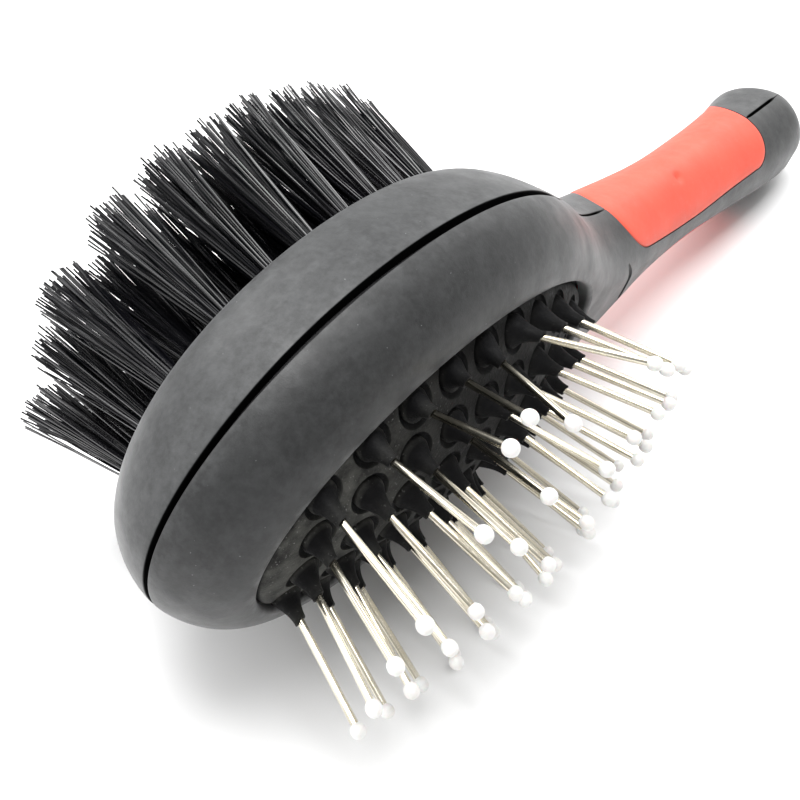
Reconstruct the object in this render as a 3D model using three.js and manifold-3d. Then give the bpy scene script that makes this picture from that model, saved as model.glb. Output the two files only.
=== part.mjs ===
// Double-sided grooming brush: ball-tipped steel pins in an air cushion on one face, nylon
// bristle tufts on the other, in a two-shell body with soft grip inserts in the handle.
//
// The brush is drawn in its own frame (millimetres): X runs from the head to the tail of the
// handle, Y across it, +Z points the way the pins point, and the origin is the centre of the head
// on the plane where the two shells part. The whole group is then laid down as the brush rests
// on a table: on the side of its head, the tips of its pins and the tail of its handle.

import * as THREE from 'three';
import { mergeVertices } from 'three/addons/utils/BufferGeometryUtils.js';
import Module from 'manifold-3d';

const wasm = await Module();
wasm.setup();

// ---------------------------------------------------------------- driving dimensions

const HEAD_HALF_LENGTH = 50;
const HEAD_HALF_WIDTH = 32.6;
const NECK_START = 34; // where the head's ellipse runs out into the neck
const TAIL_START = 158; // where the handle's sides turn into its round end
const TAIL_END = 170;
const WALL = 2.5;
const TOUCH_GAP = 0.3; // left between two pieces that touch

// Handle and neck, from the head to the tail: half width, and depth on each side of the parting.
const STATIONS = [
  { x: 0, halfWidth: 32.6, pinDepth: 11, bristleDepth: 12.9 },
  { x: NECK_START, halfWidth: 23.9, pinDepth: 11, bristleDepth: 12.9 },
  { x: 49.7, halfWidth: 14.9, pinDepth: 11, bristleDepth: 12.9 },
  { x: 61, halfWidth: 11.7, pinDepth: 10.6, bristleDepth: 12.6 },
  { x: 78, halfWidth: 10.1, pinDepth: 9.6, bristleDepth: 11.6 },
  { x: 100, halfWidth: 9.6, pinDepth: 9.4, bristleDepth: 10.2 },
  { x: 122, halfWidth: 9.7, pinDepth: 10.6, bristleDepth: 10.6 },
  { x: 143, halfWidth: 10.4, pinDepth: 11.6, bristleDepth: 11.5 },
  { x: TAIL_START, halfWidth: 11.2, pinDepth: 11.2, bristleDepth: 13.2 },
  { x: TAIL_END, halfWidth: 11.2, pinDepth: 10, bristleDepth: 13 },
];

// How far each shell's skin curves inwards on its way from the parting plane to its face.
const PIN_SIDE_INSET = { x: 7.65, y: 9.4 };
const BRISTLE_SIDE_INSET = { x: 9, y: 3.8 };
const HANDLE_INSET = { x: 7, y: 9 };
const SKIN_POWER = 1.73; // 2 would be a plain elliptical section
const LEAST_INSET = 0.4;
const NECK_BLEND = [40, 66]; // where the head's section turns into the handle's

const GROOVE_HALF_GAP = 0.65; // the open groove at the parting, round the head and at the tail
const GROOVE_DEPTH = 2;
const GROOVE_END = 36;
const TAIL_GROOVE = [139, 158];

const PIN_OPENING = { a: 41.9, b: 22.4, shift: 0.5 }; // a wider gap at the neck end than in front
const BRISTLE_OPENING = { a: 40, b: 27.4 };

const DOME = { a: 42, b: 23, edge: 9.4, rise: 7.6, thickness: 1.8 };
const CUSHION = { a: 41.1, b: 22.1, wall: 0.9 };
const FLANGE = { a: 42.6, b: 23.8, low: 6.9, high: 8.1 };
const CLAMP_RING = { outer: [43, 24.2], inner: [40.2, 21.4], low: 5.1, high: 6.6 };
const BACKING_PLATE = { a: 43, b: 24.2, low: 2.9, high: 4.8 };
const FRAME_HALF_THICKNESS = 1.2;
const BRISTLE_PLATE = { a: 41.5, b: 27, low: -10.1, high: -3 };
const PLATE_FEET = { x: 26, y: 9, radius: 3, overlap: 0.5 };

const PIN_FIELD = { a: 37, b: 19, columns: 9, pitch: 7.8, step: 7, offset: -2 };
const PIN_RADIUS = 0.55;
const PIN_LENGTH = 20; // from the cushion's skin to the tip of the ball
const PIN_LEAN = { x: 0.01, y: 0.017 }; // slope for each millimetre off the middle
const BALL_RADIUS = 1.1;
const PIN_STRIP = { low: 7.4, high: 8.4, halfWidth: 0.8 };
const PIN_HOLE_RADIUS = 1.2;

// Pins that stand out of line in the rubber: the column, the place in it, and the change of slope.
const PIN_BENDS = [
  { column: 1, place: 2, x: -0.1, y: 0 },
  { column: 1, place: 3, x: -0.1, y: 0 },
  { column: 1, place: 4, x: 0.1, y: -0.2 },
  { column: 2, place: 2, x: -0.1, y: 0 },
  { column: 2, place: 4, x: 0.2, y: -0.3 },
  { column: 3, place: 4, x: 0.2, y: -0.2 },
  { column: 3, place: 5, x: -0.1, y: 0 },
  { column: 3, place: 6, x: -0.3, y: 0.4 },
  { column: 4, place: 4, x: 0.1, y: -0.2 },
  { column: 4, place: 5, x: -0.3, y: 0.2 },
  { column: 4, place: 6, x: -0.6, y: 0.4 },
  { column: 5, place: 3, x: -0.1, y: -0.1 },
  { column: 5, place: 6, x: -0.5, y: 0 },
  { column: 6, place: 4, x: 0, y: -0.1 },
  { column: 6, place: 6, x: 0.2, y: 0 },
  { column: 7, place: 6, x: 0, y: -0.1 },
  { column: 8, place: 5, x: -0.1, y: -0.1 },
  { column: 9, place: 4, x: -0.1, y: -0.1 },
];

const TUFT_FIELD = { a: 36.1, b: 23.3, columns: 10, pitch: 7.4, step: 7.7, offset: 0 };
const TUFT_ROOT = -11.6;
const TUFT_TIP = -36;
const TUFT_LEAN = { x: 0.001, y: 0.0083 };
const TUFT_ROOT_RADIUS = 1.4;
const TUFT_TIP_RADIUS = { x: 3.5, y: 4 };
const TUFT_STRIP = { top: -11.9, bottom: -13, halfWidth: 1.2 };

const GRIP = { front: 62.8, back: 138.5, thickness: 2.2 };
const GRIP_TOP = { front: 8.8, middle: 8.7, back: 9.8 }; // height of the edge over the parting
const GRIP_BOTTOM = { front: -11, middle: -8.2, back: -11.4 };
const GRIP_CORNERS = { frontTop: 9.5, backTop: -8, frontBottom: 10, backBottom: 8.5 }; // along X
const GRIP_FRONT_BULGE = -5; // heights that the ends of the insert bow out to
const GRIP_BACK_BULGE = [-6, 2, 10.5];
const GRIP_INNER_EDGE = 2.5; // the insert wraps no nearer than this to the middle of the handle

// How the brush lies: first rolled about its length, then pitched until the tail is down.
const LYING_ROLL = 102.06;
const LYING_PITCH = 7.76;

const FAR = 200; // well outside the brush
const ELLIPSE_SIDES = 32;

// ---------------------------------------------------------------- solids

function toSolid(geometry) {
  const bare = geometry.clone();
  for (const name of Object.keys(bare.attributes)) {
    if (name !== 'position') bare.deleteAttribute(name);
  }
  const merged = mergeVertices(bare, 1e-4);
  return new wasm.Manifold(new wasm.Mesh({
    numProp: 3,
    vertProperties: new Float32Array(merged.attributes.position.array),
    triVerts: new Uint32Array(merged.index.array),
  }));
}

function toGeometry(solid) {
  const { vertProperties, triVerts } = solid.getMesh();
  const geometry = new THREE.BufferGeometry();
  geometry.setAttribute('position', new THREE.BufferAttribute(vertProperties, 3));
  geometry.setIndex(new THREE.BufferAttribute(triVerts, 1));
  geometry.computeVertexNormals();
  return geometry;
}

function addAll(solids) {
  return solids.reduce((sum, solid) => sum.add(solid));
}

function box(x0, x1, y0, y1, z0, z1) {
  const geometry = new THREE.BoxGeometry(x1 - x0, y1 - y0, z1 - z0);
  geometry.translate((x0 + x1) / 2, (y0 + y1) / 2, (z0 + z1) / 2);
  return toSolid(geometry);
}

function ellipsePlate(a, b, low, high) {
  const geometry = new THREE.CylinderGeometry(1, 1, high - low, ELLIPSE_SIDES);
  geometry.rotateX(Math.PI / 2);
  geometry.scale(a, b, 1);
  geometry.translate(0, 0, (low + high) / 2);
  return toSolid(geometry);
}

// A round bar with its own radius at each end, and each end flat across Z.
function bar(from, to, startRadius, endRadius, sides) {
  const geometry = new THREE.CylinderGeometry(1, 1, 1, sides);
  geometry.rotateX(Math.PI / 2);
  const position = geometry.attributes.position;
  for (let i = 0; i < position.count; i += 1) {
    const atEnd = position.getZ(i) > 0;
    const middle = atEnd ? to : from;
    const radius = atEnd ? endRadius : startRadius;
    position.setXYZ(
      i,
      middle.x + position.getX(i) * radius.x,
      middle.y + position.getY(i) * radius.y,
      middle.z,
    );
  }
  return toSolid(geometry);
}

// ---------------------------------------------------------------- outline of the body

// A smooth curve through the stations, read at x.
function along(key, x) {
  const last = STATIONS.length - 1;
  let i = 0;
  while (i < last - 1 && x > STATIONS[i + 1].x) i += 1;
  const slope = (j) => {
    const low = STATIONS[Math.max(j - 1, 0)];
    const high = STATIONS[Math.min(j + 1, last)];
    return (high[key] - low[key]) / (high.x - low.x);
  };
  const [start, end] = [STATIONS[i], STATIONS[i + 1]];
  const span = end.x - start.x;
  const t = THREE.MathUtils.clamp((x - start.x) / span, 0, 1);
  const rise = 3 * t ** 2 - 2 * t ** 3;
  const leave = t ** 3 - 2 * t ** 2 + t;
  const arrive = t ** 3 - t ** 2;
  const straight = start[key] + (end[key] - start[key]) * rise;
  return straight + span * (leave * slope(i) + arrive * slope(i + 1));
}

// How wide an ellipse still is, as a share of its half width, at a share of its half length.
function ellipseShare(share) {
  return Math.sqrt(Math.max(0, 1 - share ** 2));
}

function halfWidth(x) {
  if (x <= NECK_START) return HEAD_HALF_WIDTH * ellipseShare(x / HEAD_HALF_LENGTH);
  const width = along('halfWidth', Math.min(x, TAIL_START));
  if (x <= TAIL_START) return width;
  return width * ellipseShare((x - TAIL_START) / (TAIL_END - TAIL_START));
}

// Points round the whole body, each with its outward normal, anticlockwise from the front tip.
function outline() {
  const xs = [];
  const headSteps = 11;
  const neckAngle = Math.acos(-NECK_START / HEAD_HALF_LENGTH);
  for (let i = 1; i < headSteps; i += 1) {
    xs.push(-HEAD_HALF_LENGTH * Math.cos((neckAngle * i) / headSteps));
  }
  const sideSteps = 12;
  for (let i = 0; i < sideSteps; i += 1) {
    xs.push(THREE.MathUtils.lerp(NECK_START, TAIL_START, i / sideSteps));
  }
  const tailSteps = 5;
  for (let i = 0; i < tailSteps; i += 1) {
    const angle = (Math.PI / 2) * (i / tailSteps);
    xs.push(TAIL_START + (TAIL_END - TAIL_START) * Math.sin(angle));
  }
  const lower = xs.map((x) => new THREE.Vector2(x, -halfWidth(x)));
  const upper = xs.map((x) => new THREE.Vector2(x, halfWidth(x))).reverse();
  const points = [
    new THREE.Vector2(-HEAD_HALF_LENGTH, 0),
    ...lower,
    new THREE.Vector2(TAIL_END, 0),
    ...upper,
  ];
  const count = points.length;
  return points.map((point, i) => {
    const before = points[(i + count - 1) % count];
    const after = points[(i + 1) % count];
    const normal = new THREE.Vector2(after.y - before.y, before.x - after.x).normalize();
    return { point, normal };
  });
}

// Spans a ring with a lid, in strips from one side of the body to the other.
function closeLid(index, start, count, facesUp) {
  const push = (p, q, r) => {
    const [second, third] = facesUp ? [q, r] : [r, q];
    index.push(start + p, start + second, start + third);
  };
  const last = count / 2 - 1;
  push(0, 1, count - 1);
  for (let i = 1; i < last; i += 1) {
    push(i, i + 1, count - i - 1);
    push(i, count - i - 1, count - i);
  }
  push(last, last + 1, last + 2);
}

// The whole body's skin, moved inwards by the given amount: a stack of rings from the bristle
// face to the pin face, closed by a flat lid at each end.
function bodySolid(inwards) {
  const levelsPerSide = 4;
  const ring = outline();
  const vertices = [];
  for (let level = -levelsPerSide; level <= levelsPerSide; level += 1) {
    const climb = Math.abs(level) / levelsPerSide;
    const angle = (climb * Math.PI) / 2;
    const height = Math.sin(angle) ** (2 / SKIN_POWER);
    const curl = 1 - Math.cos(angle) ** (2 / SKIN_POWER);
    const pinSide = level > 0;
    const headInset = pinSide ? PIN_SIDE_INSET : BRISTLE_SIDE_INSET;
    for (const { point, normal } of ring) {
      const handle = THREE.MathUtils.smoothstep(point.x, ...NECK_BLEND);
      const insetAlong = (key) => {
        const inset = THREE.MathUtils.lerp(headInset[key], HANDLE_INSET[key], handle);
        return Math.max(inset - inwards, LEAST_INSET);
      };
      const depth = along(pinSide ? 'pinDepth' : 'bristleDepth', point.x) - inwards;
      vertices.push(
        point.x - normal.x * (inwards + insetAlong('x') * curl),
        point.y - normal.y * (inwards + insetAlong('y') * curl),
        Math.sign(level) * depth * height,
      );
    }
  }
  const count = ring.length;
  const levels = 2 * levelsPerSide;
  const index = [];
  for (let level = 0; level < levels; level += 1) {
    for (let i = 0; i < count; i += 1) {
      const a = level * count + i;
      const b = level * count + ((i + 1) % count);
      index.push(a, b, b + count, a, b + count, a + count);
    }
  }
  closeLid(index, 0, count, false);
  closeLid(index, levels * count, count, true);
  const geometry = new THREE.BufferGeometry();
  geometry.setAttribute('position', new THREE.Float32BufferAttribute(vertices, 3));
  geometry.setIndex(index);
  return toSolid(geometry);
}

const body = bodySolid(0);
const cavity = bodySolid(WALL);
const wall = body.subtract(cavity);

// ---------------------------------------------------------------- grip inserts

// The window in one side of the handle (side is 1 or -1), drawn in XZ and pushed out along Y.
// Its lower edge is on the bristle side, where it runs on towards the tail.
function gripWindow(side, grow) {
  const front = GRIP.front - grow;
  const back = GRIP.back + grow;
  const middle = (GRIP.front + GRIP.back) / 2;
  const { frontTop, backTop, frontBottom, backBottom } = GRIP_CORNERS;
  const [backLow, backMiddle, backHigh] = GRIP_BACK_BULGE;
  const start = [front + frontBottom, GRIP_BOTTOM.front - grow];
  const shape = new THREE.Shape();
  shape.moveTo(...start);
  shape.quadraticCurveTo(front, GRIP_FRONT_BULGE, front, 0);
  shape.quadraticCurveTo(front, GRIP_TOP.front + grow, front + frontTop, GRIP_TOP.front + grow);
  shape.quadraticCurveTo(middle, GRIP_TOP.middle + grow, back + backTop, GRIP_TOP.back + grow);
  shape.quadraticCurveTo(back, backHigh + grow, back, backMiddle);
  shape.quadraticCurveTo(back, backLow, back + backBottom + 2 * grow, GRIP_BOTTOM.back - grow);
  shape.quadraticCurveTo(middle, GRIP_BOTTOM.middle - grow, ...start);
  const near = GRIP_INNER_EDGE - grow;
  const depth = HEAD_HALF_WIDTH / 2;
  const geometry = new THREE.ExtrudeGeometry(shape, {
    depth,
    bevelEnabled: false,
    curveSegments: 4,
  });
  geometry.rotateX(Math.PI / 2);
  geometry.translate(0, side > 0 ? near + depth : -near, 0);
  return toSolid(geometry);
}

function gripInsert(side) {
  return body.subtract(bodySolid(GRIP.thickness)).intersect(gripWindow(side, 0));
}

const gripWindows = addAll([1, -1].map((side) => gripWindow(side, TOUCH_GAP)));

// ---------------------------------------------------------------- frame and shells

function slabOfBody(inwards, halfThickness) {
  return bodySolid(inwards).intersect(box(-FAR, FAR, -FAR, FAR, -halfThickness, halfThickness));
}

function centreFrame() {
  const gripRooms = wall.intersect(gripWindows);
  return slabOfBody(GROOVE_DEPTH, FRAME_HALF_THICKNESS).subtract(gripRooms);
}

function shellHalf(low, high) {
  const frameRoom = slabOfBody(GROOVE_DEPTH - TOUCH_GAP, FRAME_HALF_THICKNESS + TOUCH_GAP);
  const headGroove = box(-FAR, GROOVE_END, -FAR, FAR, -GROOVE_HALF_GAP, GROOVE_HALF_GAP);
  const tailGroove = box(...TAIL_GROOVE, -FAR, FAR, -GROOVE_HALF_GAP, GROOVE_HALF_GAP);
  return wall
    .intersect(box(-FAR, FAR, -FAR, FAR, low, high))
    .subtract(addAll([frameRoom, headGroove, tailGroove, gripWindows]));
}

function pinSideShell() {
  const { a, b, shift } = PIN_OPENING;
  const opening = ellipsePlate(a, b, 0, FAR).translate(shift, 0, 0);
  return shellHalf(TOUCH_GAP / 2, FAR).subtract(opening);
}

function bristleSideShell() {
  const opening = ellipsePlate(BRISTLE_OPENING.a, BRISTLE_OPENING.b, -FAR, 0);
  return shellHalf(-FAR, -TOUCH_GAP / 2).subtract(opening);
}

// ---------------------------------------------------------------- pins and their cushion

// Evenly spaced columns across an oval field; each column's outer sites lie on the oval.
function fieldSites({ a, b, columns, pitch, step, offset }) {
  return [...Array(columns).keys()].map((column) => {
    const x = (column - (columns - 1) / 2) * pitch;
    const reach = b * Math.sqrt(1 - (x / a) ** 2);
    const gaps = Math.round((2 * reach) / step);
    return [...Array(gaps + 1).keys()].map((i) => ({
      x: x + offset,
      y: reach * ((2 * i) / gaps - 1),
    }));
  });
}

function skinHeight({ x, y }) {
  return DOME.edge + DOME.rise * (1 - (x / DOME.a) ** 2 - (y / DOME.b) ** 2);
}

// The pins' sites, each with the slope its pin has under the skin and the slope it has above.
function pinField() {
  return fieldSites(PIN_FIELD).map((sites, i) => sites.map((site, j) => {
    const rooted = { x: PIN_LEAN.x * site.x, y: PIN_LEAN.y * site.y };
    const isThisPin = ({ column, place }) => column === i + 1 && place === j + 1;
    const bend = PIN_BENDS.find(isThisPin) ?? { x: 0, y: 0 };
    return { ...site, rooted, free: { x: rooted.x + bend.x, y: rooted.y + bend.y } };
  }));
}

// A point on the line of the pin that leaves the cushion's skin at the site.
function onPin(site, z) {
  const rise = z - skinHeight(site);
  const slope = rise > 0 ? site.free : site.rooted;
  return new THREE.Vector3(site.x + slope.x * rise, site.y + slope.y * rise, z);
}

function pinBar(site, low, high, radius) {
  const round = { x: radius, y: radius };
  return bar(onPin(site, low), onPin(site, high), round, round, 6);
}

// The middle of a pin's ball. A bent pin keeps its length, so its ball is lower.
function ballHeight(site) {
  const straight = Math.hypot(1, site.rooted.x, site.rooted.y);
  const bent = Math.hypot(1, site.free.x, site.free.y);
  return skinHeight(site) + (PIN_LENGTH - BALL_RADIUS) * (straight / bent);
}

function pinRow(sites) {
  const ends = [sites[0], sites[sites.length - 1]].map((site) => onPin(site, PIN_STRIP.low));
  const middle = (PIN_STRIP.low + PIN_STRIP.high) / 2;
  const strip = box(
    ends[0].x - PIN_STRIP.halfWidth,
    ends[0].x + PIN_STRIP.halfWidth,
    ends[0].y - PIN_STRIP.halfWidth,
    ends[1].y + PIN_STRIP.halfWidth,
    PIN_STRIP.low,
    PIN_STRIP.high,
  );
  const pins = sites.map((site) => {
    const root = pinBar(site, middle, skinHeight(site), PIN_RADIUS);
    const wire = pinBar(site, skinHeight(site), ballHeight(site), PIN_RADIUS);
    const ball = new THREE.SphereGeometry(BALL_RADIUS, 6, 3);
    ball.translate(...onPin(site, ballHeight(site)).toArray());
    return root.add(wire).add(toSolid(ball));
  });
  return addAll([strip, ...pins]);
}

// A domed lid whose top follows the cushion's skin, lowered by drop, from base up to the skin.
function domeBlock(a, b, base, drop) {
  const steps = 4;
  const profile = [new THREE.Vector2(0, base), new THREE.Vector2(1, base)];
  for (let i = steps; i >= 0; i -= 1) {
    const r = i / steps;
    profile.push(new THREE.Vector2(r, skinHeight({ x: a * r, y: 0 }) - drop));
  }
  const geometry = new THREE.LatheGeometry(profile, ELLIPSE_SIDES);
  geometry.rotateX(Math.PI / 2);
  geometry.scale(a, b, 1);
  return toSolid(geometry);
}

function pinCushion() {
  const { a, b, wall: side } = CUSHION;
  const skin = domeBlock(a, b, FLANGE.low, 0);
  const flange = ellipsePlate(FLANGE.a, FLANGE.b, FLANGE.low, FLANGE.high);
  const air = domeBlock(a - side, b - side, 0, DOME.thickness);
  const holes = addAll(pinSites.flat().map((site) => {
    const straight = { ...site, free: site.rooted };
    return pinBar(straight, 0, PIN_LENGTH, PIN_HOLE_RADIUS);
  }));
  return skin.add(flange).subtract(air).subtract(holes);
}

function cushionClampRing() {
  const { outer, inner, low, high } = CLAMP_RING;
  return ellipsePlate(...outer, low, high).subtract(ellipsePlate(...inner, 0, FAR));
}

// Short feet that stand a plate off the centre frame.
function plateFeet(low, high) {
  const { x, y, radius } = PLATE_FEET;
  const round = { x: radius, y: radius };
  const corners = [[-x, -y], [-x, y], [x, -y], [x, y]];
  return addAll(corners.map(([footX, footY]) => {
    const from = new THREE.Vector3(footX, footY, low);
    const to = new THREE.Vector3(footX, footY, high);
    return bar(from, to, round, round, 10);
  }));
}

function cushionBackingPlate() {
  const { a, b, low, high } = BACKING_PLATE;
  const footEnd = FRAME_HALF_THICKNESS + TOUCH_GAP;
  return ellipsePlate(a, b, low, high).add(plateFeet(footEnd, low + PLATE_FEET.overlap));
}

// ---------------------------------------------------------------- bristles and their plate

function bristlePlate() {
  const { a, b, low, high } = BRISTLE_PLATE;
  const clear = TOUCH_GAP;
  const opening = BRISTLE_OPENING;
  const land = ellipsePlate(opening.a - clear, opening.b - clear, TUFT_ROOT, high);
  const footEnd = -FRAME_HALF_THICKNESS - TOUCH_GAP;
  return ellipsePlate(a, b, low, high).add(land).add(plateFeet(high - PLATE_FEET.overlap, footEnd));
}

function tuftRow(sites) {
  const { top, bottom, halfWidth } = TUFT_STRIP;
  const x = sites[0].x;
  const reach = sites[sites.length - 1].y + halfWidth;
  const strip = box(x - halfWidth, x + halfWidth, -reach, reach, bottom, top);
  const tufts = sites.map((site) => {
    const start = (top + bottom) / 2;
    const drop = start - TUFT_TIP;
    const tip = new THREE.Vector3(
      site.x * (1 + TUFT_LEAN.x * drop),
      site.y * (1 + TUFT_LEAN.y * drop),
      TUFT_TIP,
    );
    const root = new THREE.Vector3(site.x, site.y, start);
    return bar(tip, root, TUFT_TIP_RADIUS, { x: TUFT_ROOT_RADIUS, y: TUFT_ROOT_RADIUS }, 6);
  });
  return addAll([strip, ...tufts]);
}

// ---------------------------------------------------------------- the assembly

const SOFT_TOUCH = { color: 0x3a3a3c, roughness: 0.65, metalness: 0 };
const HARD_PLASTIC = { color: 0x161617, roughness: 0.5, metalness: 0 };
const GRIP_RED = { color: 0xf2564a, roughness: 0.6, metalness: 0 };
const RUBBER = { color: 0x1d1d1e, roughness: 0.8, metalness: 0 };
const STEEL = { color: 0xcfc8b8, roughness: 0.25, metalness: 1 };
const NYLON = { color: 0x101012, roughness: 0.35, metalness: 0 };

const brush = new THREE.Group();

function addPiece(name, solid, look) {
  const mesh = new THREE.Mesh(toGeometry(solid), new THREE.MeshStandardMaterial(look));
  mesh.name = name;
  brush.add(mesh);
}

const pinSites = pinField();
const tuftSites = fieldSites(TUFT_FIELD);

addPiece('pin_side_shell', pinSideShell(), SOFT_TOUCH);
addPiece('bristle_side_shell', bristleSideShell(), SOFT_TOUCH);
addPiece('centre_frame', centreFrame(), HARD_PLASTIC);
addPiece('left_grip_insert', gripInsert(1), GRIP_RED);
addPiece('right_grip_insert', gripInsert(-1), GRIP_RED);
addPiece('pin_cushion', pinCushion(), RUBBER);
addPiece('cushion_clamp_ring', cushionClampRing(), HARD_PLASTIC);
addPiece('cushion_backing_plate', cushionBackingPlate(), HARD_PLASTIC);
addPiece('bristle_plate', bristlePlate(), HARD_PLASTIC);
pinSites.forEach((sites, i) => addPiece(`pin_row_${i + 1}`, pinRow(sites), STEEL));
tuftSites.forEach((sites, i) => addPiece(`bristle_row_${i + 1}`, tuftRow(sites), NYLON));

// Lay the brush down, and put the origin on the table under the middle of its box.
brush.rotation.x = THREE.MathUtils.degToRad(LYING_ROLL);
const lying = new THREE.Group();
lying.add(brush);
lying.rotation.y = THREE.MathUtils.degToRad(LYING_PITCH);
const extent = new THREE.Box3().setFromObject(lying, true);
const middle = extent.getCenter(new THREE.Vector3());
lying.position.set(-middle.x, -middle.y, -extent.min.z);

const part = new THREE.Group();
part.add(lying);

export default part;
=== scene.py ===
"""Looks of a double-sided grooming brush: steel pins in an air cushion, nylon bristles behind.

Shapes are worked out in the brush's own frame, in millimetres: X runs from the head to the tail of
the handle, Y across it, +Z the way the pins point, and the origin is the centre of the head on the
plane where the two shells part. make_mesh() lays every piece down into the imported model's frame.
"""

import math

import bpy
import numpy as np
from mathutils import Matrix, Vector


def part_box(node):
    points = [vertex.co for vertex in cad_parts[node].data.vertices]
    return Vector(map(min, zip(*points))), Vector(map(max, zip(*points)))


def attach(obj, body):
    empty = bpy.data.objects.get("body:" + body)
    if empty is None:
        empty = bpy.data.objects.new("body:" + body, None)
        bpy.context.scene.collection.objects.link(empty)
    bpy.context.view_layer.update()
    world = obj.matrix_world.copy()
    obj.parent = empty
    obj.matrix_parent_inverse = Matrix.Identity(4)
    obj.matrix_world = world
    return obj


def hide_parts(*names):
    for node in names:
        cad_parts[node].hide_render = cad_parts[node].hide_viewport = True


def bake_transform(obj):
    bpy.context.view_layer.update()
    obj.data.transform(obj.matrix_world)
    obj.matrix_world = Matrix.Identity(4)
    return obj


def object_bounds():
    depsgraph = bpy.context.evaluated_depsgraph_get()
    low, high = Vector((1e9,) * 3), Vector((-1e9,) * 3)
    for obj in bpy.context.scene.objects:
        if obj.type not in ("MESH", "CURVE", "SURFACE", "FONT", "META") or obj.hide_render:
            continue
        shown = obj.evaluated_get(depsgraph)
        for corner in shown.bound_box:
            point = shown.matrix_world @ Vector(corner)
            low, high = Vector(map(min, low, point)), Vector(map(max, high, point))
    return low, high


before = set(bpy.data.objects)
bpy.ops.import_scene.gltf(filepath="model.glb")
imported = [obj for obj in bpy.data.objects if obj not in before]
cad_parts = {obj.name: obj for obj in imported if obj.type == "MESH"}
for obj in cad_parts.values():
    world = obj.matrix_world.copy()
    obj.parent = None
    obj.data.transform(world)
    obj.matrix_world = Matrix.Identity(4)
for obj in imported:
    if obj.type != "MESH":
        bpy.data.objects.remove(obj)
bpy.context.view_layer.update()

MM = 0.001
rng = np.random.default_rng(7)

# ------------------------------------------------------------------ the brush's own frame

LYING_ROLL = math.radians(102.06)
LYING_PITCH = math.radians(7.76)
CLAMP_RING_HEIGHT = 5.85

ring_low, ring_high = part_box("cushion_clamp_ring")
turn = Matrix.Rotation(LYING_PITCH, 3, "Y") @ Matrix.Rotation(LYING_ROLL, 3, "X")
head_centre = (ring_low + ring_high) / 2 - turn @ Vector((0, 0, CLAMP_RING_HEIGHT * MM))


def to_world(points):
    """Brush-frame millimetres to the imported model's metres."""
    return np.asarray(points, float) @ (np.array(turn).T * MM) + np.array(head_centre)


# ------------------------------------------------------------------ driving sizes

HEAD_HALF_LENGTH = 50
HEAD_HALF_WIDTH = 32.6
NECK_START = 34
TAIL_START = 158
TAIL_END = 170

# Stations along the body, its half width there, and its depth on each side of the parting plane.
STATION_X = [0, 34, 49.7, 61, 78, 100, 122, 143, 158, 170]
HALF_WIDTHS = [32.6, 23.9, 14.9, 11.7, 10.1, 9.6, 9.7, 10.4, 11.2, 11.2]
DEPTHS = {
    1: [11, 11, 11, 10.6, 9.6, 9.4, 10.6, 11.6, 11.2, 10],
    -1: [12.9, 12.9, 12.9, 12.6, 11.6, 10.2, 10.6, 11.5, 13.2, 13],
}

# How far the skin curls in by its full depth, along X and across.
HEAD_INSET = {1: (7.65, 9.4), -1: (9, 3.8)}
HANDLE_INSET = (7, 9)
SMALLEST_INSET = 0.4
HEAD_BLEND = (40, 66)  # where the head's section turns into the handle's
SKIN_POWER = 1.73
WALL = 2.5

# The gap between the shells: a groove round the head, a slot at the neck and one at the tail.
# Each place is where the gap starts or stops changing, along X.
SEAM_HALF_GAP = 0.03
GROOVE_HALF_GAP = 0.52
GROOVE_DEPTH = 2
GROOVE_LIP = 0.2
GROOVE_NARROWING = 0.4  # the share the groove loses towards the front
GROOVE_WIDENS = (-50, -25)
GROOVE_FADES = (25, 38)
NECK_SLOT_HALF_GAP = 0.2
NECK_SLOT = {"opens": (47, 50), "closes": (58, 63)}
TAIL_SLOT_HALF_GAP = 0.3
TAIL_SLOT = {"opens": (138, 141), "closes": (154, 158)}

FRAME_HALF_THICKNESS = 1.2
FACE_REACH = 1.2  # how far a shell's flat face runs in past the frame's edge, before it is hollowed

PIN_OPENING = (41.9, 22.4)
PIN_OPENING_SHIFT = 0.5
BRISTLE_OPENING = (40, 27.4)
OPENING_LIP = 0.8

CREASE_X = 62.2
CREASE_HALF_LENGTH = 6.5
CREASE_BEND_RADIUS = 9
CREASE_RADII = (0.2, 1.0)  # at its ends and in the middle
CREASE_RISES = (0.25, -0.05)  # of its centre line over the skin, in the same places

DOME_A, DOME_B, DOME_EDGE, DOME_RISE = 42, 23, 9.4, 7.6
CUSHION_EDGE = (41.2, 21.9)
CUSHION_ROLL = 0.9
FRONT_LIFT = 1.1
FRONT_LIFT_SPAN = (30, 41)  # forwards of the head's centre
MEMBRANE_THICKNESS = 1.6
FLANGE = {"a": 42.4, "b": 23.6, "low": 6.95, "high": 8.05, "bulge": 0.2}

SOCKET_HEIGHT = 3.8
SOCKET_BASE, SOCKET_TOP = 2.3, 0.95
SOCKET_HOLLOW = 1.9  # the power that curves the cone's side inwards
BOWL_RADIUS, BOWL_DEPTH = 3.2, 1.1  # the dish round each pin's socket
BOWL_PROFILE = [  # shares of the radius and of the depth, from the middle outwards
    (0.5, 1),
    (0.72, 0.9),
    (0.88, 0.6),
    (0.96, 0.25),
    (1, -0.1),
    (1.02, -1.2),
]

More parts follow.
